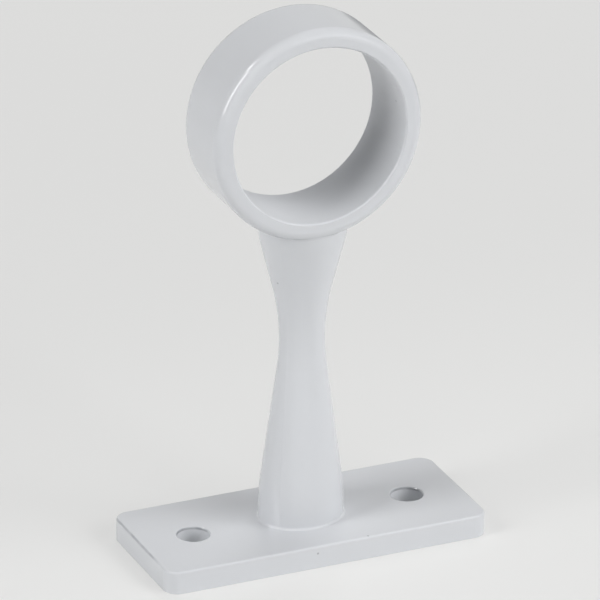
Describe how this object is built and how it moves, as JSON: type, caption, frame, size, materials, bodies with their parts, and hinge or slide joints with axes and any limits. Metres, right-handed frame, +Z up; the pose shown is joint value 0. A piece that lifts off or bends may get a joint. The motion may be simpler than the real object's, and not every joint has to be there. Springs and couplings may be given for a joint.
{
  "type": "centre pole bracket",
  "caption": "Centre bracket for a curtain pole: a flat screw plate, an oval waisted stem and a plain round ring that the pole slides through, cast in one piece and painted white.",
  "frame": {"origin": "middle of the plate's flat mounting face", "axes": "+Z up the stem away from the mounting face, +X along the plate through both screw holes, +Y along the pole"},
  "size_m": [0.0486, 0.0208, 0.0777],
  "materials": {
    "white_enamel": "glossy white stoved enamel over a smooth die casting"
  },
  "bodies": {
    "root": {"pole_bracket": "white_enamel"}
  },
  "joints": []
}
